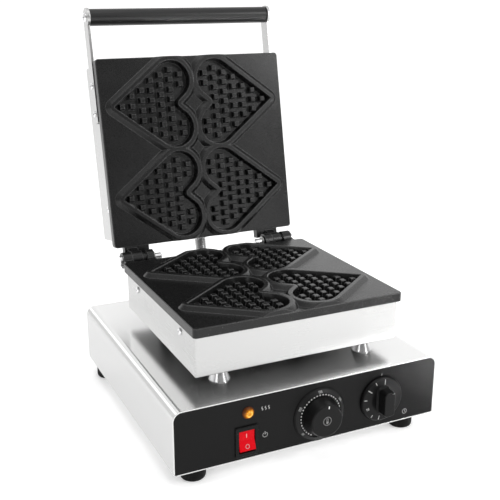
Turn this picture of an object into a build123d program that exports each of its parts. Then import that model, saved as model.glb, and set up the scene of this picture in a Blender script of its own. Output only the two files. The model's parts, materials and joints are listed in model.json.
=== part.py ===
from build123d import *
import math
import os

# Countertop heart waffle iron: a square cabinet with the controls on its front,
# a lower cooking plate in a steel casing carried on four cones, and a hinged
# upper plate in a second steel cover, shown open on its stop.
#
# Working frame while drawing: X across, centred; Y back from the face of the
# control panel; Z up from the underside of the cabinet. At export everything
# is shifted so that the origin lies on the plane that the feet stand on,
# midway across and midway front to back of the opened appliance.

# ------------------------------------------------------------------ sizes, mm
ORIGIN_Y = 178.6        # origin behind the panel face
FOOT_H = 18.5           # feet lift the cabinet this much

BASE_W = 305.0          # cabinet width
BASE_D = 305.0          # cabinet depth
BASE_H = 67.2           # cabinet height
BASE_T = 1.2            # cabinet sheet
BASE_R = 10.0           # bend radius of the long top edges
FLANGE_W = 12.0         # cover's turned-in bottom flanges
PANEL_T = 1.6           # control panel thickness

FOOT_R = 13.3
FEET = [(-124.6, 21.4), (124.6, 21.4), (-135.6, 281.6), (135.6, 281.6)]
FOOT_BORE_R = 5.6

CONE_XS = (-82.1, 88.7)
CONE_Y = (50.6, 217.0)
CONE_H = 16.6
CONE_R_BOTTOM = 11.3
CONE_R_TOP = 5.7
TUBE_R = 4.0            # threaded tubes through the cones
TUBE_BORE_R = 2.7
CLEAR_R = 4.15          # clearance holes for those tubes

CASE_W = 234.2          # lower casing and lid cover, same pressing size
CASE_Y0, CASE_Y1 = 27.8, 240.9
CASE_T = 1.0
CASE_Z0 = BASE_H + CONE_H
PLATE_X = 120.0
PLATE_Y0, PLATE_Y1 = 22.7, 248.3
LOWER_Y1 = 245.4        # the lower plate ends shorter, ahead of the hinge
PLATE_R = 4.0
PLATE_Z0 = 127.7        # underside of the lower plate
PLATE_T = 10.0          # plate thickness at its flats
PARTING_Z = 142.7       # where the two plates would meet
RIM_H = 4.8             # rims stand this far above the flats
RECESS_D = 5.0          # heart floors lie this far below the flats
PEG_TOP_GAP = 2.6       # peg tops lie this far short of the parting plane
EDGE = 0.6              # small chamfers on the castings' edges

HEART_ROWS = (80.1, 190.5)
TIP_U = 104.0           # heart tip, out from the middle
LOBE_U, LOBE_V, LOBE_R = 28.5, 29.0, 23.5
NOTCH_U = 26.0
RIM_TOP_W = 5.3         # rim's width at its top
RIM_SLOPE_W = 4.5       # rim's outer slope, in plan
TIP_R = 1.2             # rounding of the cavity's tip and of its notch
NOTCH_R = 5.6
WALL_DRAFT_W = 1.9      # heart wall's draft, in plan
PEG_PITCH = 11.9
PEG_BASE, PEG_TOP = 8.3, 5.5
PEG_COLUMNS = (
    (93.0, (0,)),
    (80.0, (-1, 0, 1)),
    (67.0, (-1.5, -0.5, 0.5, 1.5)),
    (54.5, (-2.5, -1.5, -0.5, 0.5, 1.5, 2.5)),
    (42.0, (-3, -2, -1, 0, 1, 2, 3)),
    (29.5, (-3.5, -2.5, -1.5, -0.5, 0.5, 1.5, 2.5, 3.5)),
    (16.5, (-3, -2, 2, 3)),
)

HINGE_Y, HINGE_Z = 262.34, 135.33
KNUCKLE_R = 9.6
PIN_R = 4.0
OPEN_ANGLE = 101.56     # lid leans back past upright onto its stop
BASE_KNUCKLES = ((-116.4, -105.3), (-86.5, -78.0), (72.0, 82.1), (97.6, 109.2))
BASE_COLLARS = ((-92.0, -86.0), (93.9, 98.0))
LID_KNUCKLES = ((-104.8, -92.5), (82.6, 93.4))
LID_WEBS = ((-108.0, -77.0), (70.0, 99.0))

LID_TOP_Z = 203.5       # back of the lid cover, measured with the lid closed
GRIP_Y, GRIP_Z = -28.64, 168.7
GRIP_R = 10.0
ARM_T = 3.0
ARM_W = 17.0
ARM_Z = 171.5
ARM_END_Y = 97.0
ARM_DISC_R = 11.5
ARM_SCREW_Y = (52.0, 85.5)

HOSE_R = 7.2
HOSE_BORE_R = 5.6
HOSE_BASE_Y = 288.0
HOSE_LID_Z = 172.0

LAMP_X, LAMP_Z = -73.5, 50.4
ROCKER_X, ROCKER_Z = -75.2, 19.6
ROCKER_TILT = 9.0
THERMO_X, THERMO_Z = 7.5, 30.0
TIMER_X, TIMER_Z = 82.3, 31.8
GLAND_X, GLAND_Z = -60.0, 30.0

os.makedirs("parts", exist_ok=True)
nodes = {}


# ---------------------------------------------------------------- small tools
def block(x0, x1, y0, y1, z0, z1):
    return Pos((x0 + x1) / 2, (y0 + y1) / 2, (z0 + z1) / 2) * Box(
        abs(x1 - x0), abs(y1 - y0), abs(z1 - z0)
    )


def rod_x(x0, x1, y, z, r):
    return Pos((x0 + x1) / 2, y, z) * Rot(0, 90, 0) * Cylinder(r, abs(x1 - x0))


def rod_y(y0, y1, x, z, r):
    return Pos(x, (y0 + y1) / 2, z) * Rot(90, 0, 0) * Cylinder(r, abs(y1 - y0))


def rod_z(z0, z1, x, y, r):
    return Pos(x, y, (z0 + z1) / 2) * Cylinder(r, abs(z1 - z0))


def turned_z(points, x=0.0, y=0.0):
    """Solid of revolution about a vertical axis, from (radius, z) points."""
    face = make_face(Polyline(*[(r, 0, z) for r, z in points], close=True))
    return Pos(x, y, 0) * revolve(face, Axis.Z)


def turned_y(points, x=0.0, z=0.0):
    """Solid of revolution about an axis along Y, from (radius, y) points."""
    face = make_face(Polyline(*[(r, y, 0) for r, y in points], close=True))
    return Pos(x, 0, z) * revolve(face, Axis.Y)


def turned_x(points, y=0.0, z=0.0):
    """Solid of revolution about an axis along X, from (radius, x) points."""
    face = make_face(Polyline(*[(x, r, 0) for r, x in points], close=True))
    return Pos(0, y, z) * revolve(face, Axis.X)


def group(solids):
    out = []
    for s in solids:
        out.extend(s.solids())
    return Compound(children=out)


def one(shape):
    found = shape.solids()
    found.sort(key=lambda s: -s.volume)
    return found[0]


def panel_plate(w, z0, z1, r_top, y0, y1):
    """Upright sheet with rounded top corners, between y0 and y1."""
    sk = Pos(0, (z0 + z1) / 2) * Rectangle(w, z1 - z0)
    sk = fillet(sk.vertices().group_by(Axis.Y)[-1], r_top)
    return Pos(0, y1, 0) * Rot(90, 0, 0) * extrude(sk, y1 - y0)


def screw(shank_r, length, head_r, head_h, cross=True):
    """Round-headed screw along +Z, seated at z=0, shank below."""
    head = revolve(
        make_face(
            Polyline(
                (0, 0, 0),
                (head_r, 0, 0),
                (head_r, 0, head_h * 0.35),
                (head_r * 0.86, 0, head_h * 0.74),
                (head_r * 0.58, 0, head_h * 0.94),
                (0, 0, head_h),
                close=True,
            )
        ),
        Axis.Z,
    )
    body = head + Pos(0, 0, -length / 2 + 0.05) * Cylinder(shank_r, length + 0.1)
    if cross:
        a = head_r * 1.15
        w = head_r * 0.2
        body -= Pos(0, 0, head_h) * Box(a, w, head_h * 1.1)
        body -= Pos(0, 0, head_h) * Box(w, a, head_h * 1.1)
    return body


TO_LEFT = Rot(0, -90, 0)    # +Z turned to -X
TO_RIGHT = Rot(0, 90, 0)    # +Z turned to +X
TO_FRONT = Rot(90, 0, 0)    # +Z turned to -Y
TO_BACK = Rot(-90, 0, 0)    # +Z turned to +Y
TO_DOWN = Rot(180, 0, 0)


def hex_prism(across_flats, z0, z1, x=0.0, y=0.0):
    r = across_flats / math.sqrt(3)
    return Pos(x, y, z0) * extrude(RegularPolygon(r, 6), z1 - z0)


def wire_tube(points, radius, tangents=None):
    path = Spline(*points, tangents=tangents) if tangents else Spline(*points)
    start = path @ 0
    direction = path % 0
    return sweep(Plane(origin=start, z_dir=direction) * Circle(radius), path=path, is_frenet=True)


def opened(shape):
    """Turn a shape drawn with the lid closed to where it is with the lid open."""
    return shape.rotate(Axis((0, HINGE_Y, HINGE_Z), (1, 0, 0)), -OPEN_ANGLE)


# -------------------------------------------------------------------- cabinet
FRONT_WALL_Y0, FRONT_WALL_Y1 = PANEL_T + 0.02, PANEL_T + 0.02 + BASE_T
REAR_WALL_Y0, REAR_WALL_Y1 = BASE_D - BASE_T, BASE_D
HALF = BASE_W / 2
IN_W = BASE_W - 2 * BASE_T - 0.2
IN_R = BASE_R - BASE_T
COVER_SCREWS = [(sx * (HALF - 6.0), y) for sx in (-1, 1) for y in (52.0, 152.5, 250.0)]

outer = panel_plate(BASE_W, 0, BASE_H, BASE_R, 0, BASE_D)
outer = fillet(
    [e for e in outer.edges().filter_by(Axis.Y) if abs(e.center().Z) < 0.01], 1.1
)
inner = panel_plate(BASE_W - 2 * BASE_T, -5, BASE_H - BASE_T, IN_R, -1, BASE_D + 1)
cover = outer - inner
for s in (-1, 1):
    cover += block(s * (HALF - FLANGE_W), s * (HALF - 1.15), PANEL_T + 0.05, BASE_D, 0, BASE_T)
for x in CONE_XS:
    for y in CONE_Y:
        cover -= rod_z(BASE_H - 4, BASE_H + 4, x, y, CLEAR_R)
cover -= rod_z(BASE_H - 4, BASE_H + 4, 0, HOSE_BASE_Y, 9.2)
for x, y in COVER_SCREWS:
    cover -= rod_z(-2, 4, x, y, 2.1)
# the flanges are relieved round the rear feet, which stand under the tray
for x, y in FEET[2:]:
    cover -= rod_z(-1, BASE_T + 0.1, x, y, FOOT_R + 0.4)
nodes["base_cover"] = one(cover)

floor = block(-IN_W / 2, IN_W / 2, FRONT_WALL_Y0, BASE_D, BASE_T + 0.02, 2 * BASE_T)
front = panel_plate(IN_W, BASE_T + 0.02, BASE_H - BASE_T - 0.1, IN_R, FRONT_WALL_Y0, FRONT_WALL_Y1)
rear = panel_plate(IN_W, BASE_T + 0.02, BASE_H - BASE_T - 0.1, IN_R, REAR_WALL_Y0, REAR_WALL_Y1)
tray = floor + front + rear
# the front wall is drawn down and folded forward into a lip under the panel
tray += block(-139, 139, FRONT_WALL_Y0, FRONT_WALL_Y1, -BASE_T, 2 * BASE_T)
tray += block(-139, 139, 0.15, FRONT_WALL_Y1, -BASE_T, 0)
tray += block(-IN_W / 2 + 1, IN_W / 2 - 1, 0.15, PANEL_T, -BASE_T, 0)
for x, y in COVER_SCREWS:
    tray -= rod_z(-2, 6, x, y, 1.95)
for x, y in FEET:
    tray -= rod_z(-2, 6, x, y, 2.6)
PANEL_HOLES = (
    rod_y(-5, 8, LAMP_X, LAMP_Z, 5.1),
    block(ROCKER_X - 10.9, ROCKER_X + 10.9, -5, 8, ROCKER_Z - 14.9, ROCKER_Z + 14.9),
    rod_y(-5, 8, THERMO_X, THERMO_Z, 5.1),
    rod_y(-5, 8, TIMER_X, TIMER_Z, 5.1),
)
for hole in PANEL_HOLES:
    tray -= hole
tray -= rod_y(REAR_WALL_Y0 - 3, REAR_WALL_Y1 + 3, GLAND_X, GLAND_Z, 8.1)
nodes["bottom_tray"] = one(tray)

panel = panel_plate(IN_W, 0.05, BASE_H - BASE_T - 0.1, IN_R, 0, PANEL_T)
for hole in PANEL_HOLES:
    panel -= hole
nodes["control_panel"] = one(panel)

nodes["cover_screws"] = group(
    [Pos(x, y, 0) * TO_DOWN * screw(1.9, 7.5, 3.6, 2.3) for x, y in COVER_SCREWS]
)

# rubber feet with a counterbore for their screws
foot_profile = [
    (2.7, BASE_T), (FOOT_R - 0.6, BASE_T), (FOOT_R - 0.2, -4.0), (FOOT_R, -14.6), (FOOT_R - 0.2, -16.2),
    (FOOT_R - 0.7, -17.4), (FOOT_R - 1.5, -18.2), (FOOT_R - 2.4, -FOOT_H), (FOOT_BORE_R, -FOOT_H),
    (FOOT_BORE_R, -8.5), (2.7, -8.5),
]
feet = [turned_z(foot_profile, x, y) for x, y in FEET]
nodes["rubber_feet"] = group(feet)
nodes["foot_screws"] = group(
    [Pos(x, y, -8.5) * TO_DOWN * screw(2.5, 17.5, 4.7, 3.0) for x, y in FEET]
)
nodes["foot_nuts"] = group(
    [
        hex_prism(8.0, 2 * BASE_T, 2 * BASE_T + 4.2, x, y) - rod_z(0, 10, x, y, 2.52)
        for x, y in FEET
    ]
)

# cord inlet on the rear wall: gland body, bore left open, and its locknut
gland = hex_prism(19.0, 0, 5.0) + Pos(0, 0, 9.5) * Cylinder(8.6, 9.2)
gland += Pos(0, 0, 14.9) * Cone(8.6, 6.6, 1.8)
gland += Pos(0, 0, -4.9) * Cylinder(8.0, 10.2)
gland -= Pos(0, 0, 0) * Cylinder(4.0, 60)
gland = Pos(GLAND_X, BASE_D, GLAND_Z) * TO_BACK * gland
nodes["cord_gland"] = one(gland)
locknut = hex_prism(22.0, 0, 4.0) - Cylinder(8.03, 40)
nodes["gland_locknut"] = one(Pos(GLAND_X, REAR_WALL_Y0 - 4.0, GLAND_Z) * TO_BACK * locknut)

# -------------------------------------------------------------- panel controls
# rocker switch: housing with bezel, rocker on two stub pivots
PIVOT_Y = 6.0
sk = Rectangle(25.0, 33.0)
sk = fillet(sk.vertices(), 1.2)
bezel = Pos(ROCKER_X, 0, ROCKER_Z) * Rot(90, 0, 0) * extrude(sk, 2.0)
bezel = chamfer(bezel.faces().sort_by(Axis.Y)[0].edges(), 0.7)
housing = bezel + block(ROCKER_X - 10.75, ROCKER_X + 10.75, -0.05, 27, ROCKER_Z - 14.75, ROCKER_Z + 14.75)
housing -= block(ROCKER_X - 8.95, ROCKER_X + 8.95, -5, 19, ROCKER_Z - 12.2, ROCKER_Z + 12.2)
housing -= rod_x(ROCKER_X - 12, ROCKER_X + 12, PIVOT_Y, ROCKER_Z, 1.56)
for dz in (-8.0, 0.0, 8.0):
    housing += block(ROCKER_X - 2.4, ROCKER_X + 2.4, 26.9, 35, ROCKER_Z + dz - 0.4, ROCKER_Z + dz + 0.4)
nodes["power_switch_housing"] = one(housing)

half_h = 10.6
profile = [
    (-8.6, half_h), (-6.9, 0.0), (-8.6, -half_h), (-1.0, -half_h + 0.7),
    (2.6, -4.0), (4.6, 0.0), (2.6, 4.0), (-1.0, half_h - 0.7),
]
rocker_face = make_face(Polyline(*[(0, y, z) for y, z in profile], close=True))
rocker = extrude(rocker_face, 17.3 / 2, dir=(1, 0, 0), both=True)
rocker = fillet(
    [e for e in rocker.edges() if e.center().Y < -7.0 and abs(abs(e.center().X) - 8.65) < 0.01], 0.5
)
rocker += rod_x(-10.2, 10.2, 0, 0, 1.5)
rocker = rocker.rotate(Axis.X, -ROCKER_TILT)
nodes["power_rocker"] = one(Pos(ROCKER_X, PIVOT_Y, ROCKER_Z) * rocker)

lens = turned_y(
    [
        (0, -4.1), (2.2, -3.9), (4.0, -3.3), (5.3, -2.3), (5.9, -1.2), (6.0, -0.9),
        (6.5, -0.9), (6.5, -0.02), (4.9, -0.02), (4.9, 3.4), (0, 3.4),
    ],
    LAMP_X, LAMP_Z,
)
nodes["pilot_lamp_lens"] = one(lens)
lamp = rod_y(3.45, 23, LAMP_X, LAMP_Z, 5.0) + rod_y(FRONT_WALL_Y1 + 0.65, 6.5, LAMP_X, LAMP_Z, 7.0)
for dx in (-2.5, 2.5):
    lamp += block(LAMP_X + dx - 0.4, LAMP_X + dx + 0.4, 22.9, 30, LAMP_Z - 1.6, LAMP_Z + 1.6)
nodes["pilot_lamp_body"] = one(lamp)

# thermostat: body behind the panel, fixed scale ring, shaft and knob
body = block(THERMO_X - 18, THERMO_X + 18, FRONT_WALL_Y1 + 0.02, 33, THERMO_Z - 17, THERMO_Z + 17)
body += rod_y(-0.5, 5, THERMO_X, THERMO_Z, 4.9)
body -= rod_y(-3, 22, THERMO_X, THERMO_Z, 3.05)
for dx in (-10.0, 10.0):
    body += block(THERMO_X + dx - 2.4, THERMO_X + dx + 2.4, 32.9, 41, THERMO_Z + 9.6, THERMO_Z + 10.4)
nodes["thermostat_body"] = one(body)
nodes["thermostat_dial"] = one(
    turned_y(
        [
            (5.2, -0.02), (29.6, -0.02), (29.9, -0.3), (29.9, -0.7), (29.5, -1.0), (28.6, -1.0),
            (28.2, -1.6), (24.7, -3.5), (24.1, -3.5), (23.7, -2.5), (5.2, -2.5),
        ],
        THERMO_X, THERMO_Z,
    )
)
nodes["thermostat_shaft"] = one(
    rod_y(-12.4, 21.5, THERMO_X, THERMO_Z, 3.0)
    - block(THERMO_X - 4, THERMO_X + 4, -13, -2.0, THERMO_Z + 1.6, THERMO_Z + 4)
)
knob = turned_y(
    [
        (0, -17.0), (16.6, -17.0), (17.6, -16.6), (18.1, -15.8), (19.4, -11.0),
        (20.6, -6.6), (21.2, -4.6), (21.2, -3.4), (16.0, -3.4), (15.6, -11.8),
        (5.2, -11.8), (5.2, -3.4), (0, -3.4),
    ],
    THERMO_X, THERMO_Z,
)
knob -= rod_y(-12.5, 0, THERMO_X, THERMO_Z, 3.02)
knob += block(THERMO_X - 2.7, THERMO_X + 2.7, -12.5, -3.4, THERMO_Z + 1.62, THERMO_Z + 4.2)
nodes["thermostat_knob"] = one(knob)

# timer: body behind the panel, shaft, and a skirted bar knob
body = block(TIMER_X - 23, TIMER_X + 23, FRONT_WALL_Y1 + 0.02, 40, TIMER_Z - 23, TIMER_Z + 23)
body = fillet(body.edges().filter_by(Axis.Y), 3)
body += rod_y(-0.4, 5, TIMER_X, TIMER_Z, 4.9)
body -= rod_y(-3, 26, TIMER_X, TIMER_Z, 3.05)
for dx in (-12.0, 12.0):
    body += block(TIMER_X + dx - 2.4, TIMER_X + dx + 2.4, 39.9, 48, TIMER_Z + 9.6, TIMER_Z + 10.4)
nodes["timer_body"] = one(body)
nodes["timer_shaft"] = one(
    rod_y(-14.4, 25.5, TIMER_X, TIMER_Z, 3.0)
    - block(TIMER_X - 4, TIMER_X + 4, -15, -0.5, TIMER_Z + 1.6, TIMER_Z + 4)
)
skirt = turned_y(
    [
        (0, -0.6), (23.5, -0.6), (24.9, -0.6), (25.2, -1.1), (25.2, -2.0),
        (24.3, -3.6), (23.4, -4.2), (14.0, -5.0), (0, -5.0),
    ]
)


def grip_section(w, h, r, y):
    sec = fillet(Rectangle(w, h).vertices(), r)
    return Pos(0, y, 0) * Rot(90, 0, 0) * sec


bar = loft([grip_section(13.8, 28.2, 4.4, -7.2), grip_section(12.5, 27.0, 3.6, -18.6)])
bar += loft([grip_section(17.4, 31.8, 6.2, -4.2), grip_section(13.8, 28.2, 4.4, -7.2)])
bar = fillet(bar.faces().sort_by(Axis.Y)[0].edges(), 0.8)
tknob = skirt + bar
tknob -= rod_y(-14.5, 0, 0, 0, 3.02)
tknob -= turned_y([(5.4, -0.5), (21.0, -0.5), (21.0, -2.4), (5.4, -2.4)])
tknob += block(-2.7, 2.7, -14.5, -0.7, 1.62, 4.2)
nodes["timer_knob"] = one(Pos(TIMER_X, 0, TIMER_Z) * tknob)

# terminal block on the floor
tb = block(-66, -14, 196, 216, 2 * BASE_T + 0.02, 19)
for i in range(5):
    x = -60.4 + i * 10.2
    tb -= rod_y(190, 220, x, 12.0, 2.2)
    tb -= rod_z(14.0, 25, x, 201.0, 2.4)
    tb -= rod_z(14.0, 25, x, 211.0, 2.4)
nodes["terminal_block"] = one(tb)
nodes["terminal_screws"] = group(
    [
        Pos(-60.4 + i * 10.2, y, 17.0) * (Pos(0, 0, -1.2) * Cylinder(2.3, 2.4) - Pos(0, 0, 0) * Box(5, 0.7, 1.2))
        for i in range(5)
        for y in (201.0, 211.0)
    ]
)

# ------------------------------------------------------- cones, tubes and nuts
cone_profile = [
    (CLEAR_R, BASE_H), (CONE_R_BOTTOM - 0.3, BASE_H), (CONE_R_BOTTOM, BASE_H + 0.3),
    (CONE_R_BOTTOM - 0.15, BASE_H + 1.0),
    (CONE_R_TOP, CASE_Z0), (CLEAR_R, CASE_Z0),
]
spots = [(x, y) for x in CONE_XS for y in CONE_Y]
nodes["standoff_cones"] = group([turned_z(cone_profile, x, y) for x, y in spots])
NUT_H = 4.8
tube_z0, tube_z1 = BASE_H - BASE_T - NUT_H - 1.6, CASE_Z0 + CASE_T + NUT_H + 1.6
nodes["standoff_tubes"] = group(
    [rod_z(tube_z0, tube_z1, x, y, TUBE_R) - rod_z(tube_z0 - 1, tube_z1 + 1, x, y, TUBE_BORE_R) for x, y in spots]
)
nuts = []
for x, y in spots:
    nuts.append(hex_prism(13.0, BASE_H - BASE_T - NUT_H, BASE_H - BASE_T - 0.03, x, y) - rod_z(0, 200, x, y, TUBE_R + 0.03))
    nuts.append(hex_prism(13.0, CASE_Z0 + CASE_T + 0.03, CASE_Z0 + CASE_T + NUT_H, x, y) - rod_z(0, 200, x, y, TUBE_R + 0.03))
nodes["standoff_nuts"] = group(nuts)

# ---------------------------------------------------------------- lower casing
def case_shell(z0, z1, closed_low):
    """Folded open box, CASE_T thick, closed at its low or high Z side."""
    hw = CASE_W / 2
    out = block(-hw, hw, CASE_Y0, CASE_Y1, z0, z1)
    out = fillet(out.edges().filter_by(Axis.Z), 1.5)
    end = out.faces().sort_by(Axis.Z)[0 if closed_low else -1]
    out = fillet(end.edges(), 1.2)
    if closed_low:
        return out - block(-hw + CASE_T, hw - CASE_T, CASE_Y0 + CASE_T, CASE_Y1 - CASE_T, z0 + CASE_T, z1 + 5)
    return out - block(-hw + CASE_T, hw - CASE_T, CASE_Y0 + CASE_T, CASE_Y1 - CASE_T, z0 - 5, z1 - CASE_T)


HW = CASE_W / 2
SIDE_SCREW_Z = 118.6
SIDE_SCREW_Y = (67.5, 201.6)
case = case_shell(CASE_Z0, PLATE_Z0 - 0.05, True)
for x, y in spots:
    case -= rod_z(CASE_Z0 - 3, CASE_Z0 + 3, x, y, CLEAR_R)
for y in SIDE_SCREW_Y:
    case -= rod_x(-HW - 3, HW + 3, y, SIDE_SCREW_Z, 2.1)
nodes["lower_casing"] = one(case)
nodes["casing_screws"] = group(
    [Pos(-HW, y, SIDE_SCREW_Z) * TO_LEFT * screw(1.95, 8.0, 3.9, 2.2) for y in SIDE_SCREW_Y]
    + [Pos(HW, y, SIDE_SCREW_Z) * TO_RIGHT * screw(1.95, 8.0, 3.9, 2.2) for y in SIDE_SCREW_Y]
)

# --------------------------------------------------------------- cooking plate
tip_a = math.atan2(LOBE_V, TIP_U - LOBE_U) + math.asin(LOBE_R / math.hypot(TIP_U - LOBE_U, LOBE_V))
notch_b = math.pi - (
    math.atan2(LOBE_V, LOBE_U - NOTCH_U) + math.asin(LOBE_R / math.hypot(LOBE_U - NOTCH_U, LOBE_V))
)


def heart_wire(side, row, grow, z):
    """Heart outline, tip outward, grown outward by grow, at height z."""
    r = LOBE_R + grow
    a, b = tip_a, notch_b
    t1 = (LOBE_U + r * math.sin(a), LOBE_V + r * math.cos(a))
    t2 = (LOBE_U - r * math.sin(b), LOBE_V - r * math.cos(b))
    mid_a = (math.pi / 2 - a + math.pi + math.pi / 2 - b) / 2
    mid = (LOBE_U + r * math.cos(mid_a), LOBE_V + r * math.sin(mid_a))
    tip = t1[0] + math.cos(a) * t1[1] / math.sin(a)
    notch = t2[0] + math.cos(b) * t2[1] / math.sin(b)
    # the tip is rounded about a point inside it, the notch about one outside it
    rt, rn = max(TIP_R + grow, 0.3), max(NOTCH_R - grow, 0.3)
    tip_c, notch_c = tip - rt / math.sin(a), notch - rn / math.sin(b)
    tip_t = (tip_c + rt * math.sin(a), rt * math.cos(a))
    notch_t = (notch_c + rn * math.sin(b), rn * math.cos(b))

    def at(p, sign=1):
        return Vector(side * p[0], row + sign * p[1], z)

    edges = [
        Edge.make_line(at(tip_t), at(t1)),
        Edge.make_three_point_arc(at(t1), at(mid), at(t2)),
        Edge.make_line(at(t2), at(notch_t)),
        Edge.make_three_point_arc(at(notch_t), at((notch_c + rn, 0)), at(notch_t, -1)),
        Edge.make_line(at(notch_t, -1), at(t2, -1)),
        Edge.make_three_point_arc(at(t2, -1), at(mid, -1), at(t1, -1)),
        Edge.make_line(at(t1, -1), at(tip_t, -1)),
        Edge.make_three_point_arc(at(tip_t, -1), at((tip_c + rt, 0)), at(tip_t)),
    ]
    return Wire(edges)


def heart_solid(side, row, *sections):
    """Ruled solid through heart outlines, each given as (grow, z)."""
    return Solid.make_loft([heart_wire(side, row, g, z) for g, z in sections], True)


def plate_outline(z0, z1, y1=PLATE_Y1):
    p = block(-PLATE_X, PLATE_X, PLATE_Y0, y1, z0, z1)
    p = fillet(p.edges().filter_by(Axis.Z), PLATE_R)
    return p


FLAT_Z = PLATE_Z0 + PLATE_T
RIM_Z = FLAT_Z + RIM_H
HEARTS = [(s, row) for s in (-1, 1) for row in HEART_ROWS]


def cooking_plate():
    """Lower plate without its hinge lugs; the upper plate is its mirror image."""
    rims = [
        heart_solid(
            s, row, (RIM_TOP_W + RIM_SLOPE_W + 0.2, FLAT_Z - 0.2), (RIM_TOP_W + EDGE, RIM_Z - EDGE), (RIM_TOP_W - EDGE, RIM_Z)
        )
        for s, row in HEARTS
    ]
    ridge = rims[0].fuse(*rims[1:])
    ridge = ridge & plate_outline(FLAT_Z - 1.0, RIM_Z + 1.0)
    slab = plate_outline(PLATE_Z0, FLAT_Z)
    slab = chamfer(slab.faces().sort_by(Axis.Z)[-1].edges(), EDGE)
    slab = chamfer(slab.faces().sort_by(Axis.Z)[0].edges(), 0.4)
    plate = slab + ridge
    for s, row in HEARTS:
        plate -= heart_solid(
            s, row, (-WALL_DRAFT_W, FLAT_Z - RECESS_D), (0.0, RIM_Z - EDGE), (EDGE, RIM_Z), (EDGE + 0.8, RIM_Z + 0.8)
        )
    peg_z0, peg_z1 = FLAT_Z - RECESS_D - 0.5, PARTING_Z - PEG_TOP_GAP
    grow = (PEG_BASE - PEG_TOP) / (peg_z1 - FLAT_Z + RECESS_D) * 0.5
    peg = Solid.make_loft(
        [
            Pos(0, 0, peg_z0) * Wire.make_rect(PEG_BASE + grow, PEG_BASE + grow),
            Pos(0, 0, peg_z1 - EDGE) * Wire.make_rect(PEG_TOP + 0.3, PEG_TOP + 0.3),
            Pos(0, 0, peg_z1) * Wire.make_rect(PEG_TOP - 0.7, PEG_TOP - 0.7),
        ],
        True,
    )
    pegs = []
    for s, row in HEARTS:
        for u, offsets in PEG_COLUMNS:
            for k in offsets:
                pegs.append(peg.moved(Location((s * u, row + k * PEG_PITCH, 0))))
    plate = one(plate).fuse(*pegs)
    # drilled lugs for the casing screws, and two bosses for the element clamp
    for s in (-1, 1):
        for y in SIDE_SCREW_Y:
            lug = block(s * 104.0, s * (HW - CASE_T - 0.1), y - 8, y + 8, 113.0, PLATE_Z0 + 0.5)
            lug -= rod_x(s * 100, s * 125, y, SIDE_SCREW_Z, 1.98)
            plate = plate.fuse(lug.solids()[0])
    for x in (-45.0, 45.0):
        boss = rod_z(121.3, PLATE_Z0 + 0.5, x, 128.0, 8.0)
        plate = plate.fuse(boss.solids()[0])
    for x in (-45.0, 45.0):
        plate = plate.cut(rod_z(118, PLATE_Z0 + 2.0, x, 128.0, 2.52).solids()[0])
    return one(plate)


plate_blank = cooking_plate()

lower = one(plate_blank & plate_outline(100.0, RIM_Z + 1.0, LOWER_Y1))
for x0, x1 in BASE_KNUCKLES:
    lug = block(x0, x1, LOWER_Y1 - 3.0, HINGE_Y, PLATE_Z0, FLAT_Z) + rod_x(x0, x1, HINGE_Y, HINGE_Z, KNUCKLE_R)
    for c0, c1 in BASE_COLLARS:
        if c0 < x1 and c1 > x0:
            lug += rod_x(c0, c1, HINGE_Y, HINGE_Z, 7.0)
    lug -= rod_x(x0 - 8, x1 + 8, HINGE_Y, HINGE_Z, PIN_R + 0.02)
    lower = lower.fuse(lug.solids()[0])
nodes["lower_plate"] = one(lower)

# hinge pins: head on the outer side, grooved tip inboard, and their clips
PINS = ((-119.6, -116.45, -66.6), (112.4, 109.25, 60.2))
CLIP_AT = (-76.5, 70.5)
pins, clips = [], []
for (head, seat, tip), cx in zip(PINS, CLIP_AT):
    sgn = 1 if tip > head else -1
    pin = rod_x(seat, tip, HINGE_Y, HINGE_Z, PIN_R) + rod_x(head, seat, HINGE_Y, HINGE_Z, 6.4)
    pin = chamfer(pin.edges().filter_by(GeomType.CIRCLE).sort_by(Axis.X)[-1 if sgn > 0 else 0], 0.9)
    ring = rod_x(cx - 0.6, cx + 0.6, HINGE_Y, HINGE_Z, 8.0) - rod_x(cx - 0.7, cx + 0.7, HINGE_Y, HINGE_Z, 3.3)
    pin -= ring
    pins.append(pin)
    clip = rod_x(cx - 0.5, cx + 0.5, HINGE_Y, HINGE_Z, 6.6) - rod_x(cx - 0.7, cx + 0.7, HINGE_Y, HINGE_Z, 3.35)
    clip -= block(cx - 1, cx + 1, HINGE_Y - 2.2, HINGE_Y + 2.2, HINGE_Z - 9, HINGE_Z)
    clips.append(clip)
nodes["hinge_pins"] = group(pins)
nodes["pin_clips"] = group(clips)

# ------------------------------------------------ heating element and its parts
TUBE_HEAT_R = 3.2
ELEMENT_Z = PLATE_Z0 - TUBE_HEAT_R - 0.05


def element(z):
    pts = [(-14, 232), (-14, 204), (-90, 204), (-90, 54), (90, 54), (90, 204), (14, 204), (14, 232)]
    path = FilletPolyline(*[(x, y, z) for x, y in pts], radius=11)
    tube = sweep(Plane(origin=(pts[0][0], pts[0][1], z), z_dir=(0, -1, 0)) * Circle(TUBE_HEAT_R), path=path)
    ends = [rod_y(231.5, 238.5, x, z, 1.4) for x in (-14, 14)]
    return one(tube + ends[0] + ends[1])


def clamp_plate(z0, z1):
    p = block(-98, 98, 108, 148, z0, z1)
    for x in (-45.0, 45.0):
        p -= rod_z(z0 - 2, z1 + 2, x, 128.0, 2.8)
    return one(p)


element_low = ELEMENT_Z - TUBE_HEAT_R
nodes["lower_heater"] = element(ELEMENT_Z)
nodes["lower_heater_clamp"] = clamp_plate(element_low - 1.3, element_low - 0.05)
nodes["lower_clamp_screws"] = group(
    [Pos(x, 128.0, element_low - 1.3) * TO_DOWN * screw(2.45, 6.5, 4.6, 2.8) for x in (-45.0, 45.0)]
)
mat = block(-112, 112, 32, 236, CASE_Z0 + CASE_T + 0.02, 106)
for x, y in spots:
    mat -= rod_z(80, 120, x, y, 10.0)
nodes["lower_insulation"] = one(mat)

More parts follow.
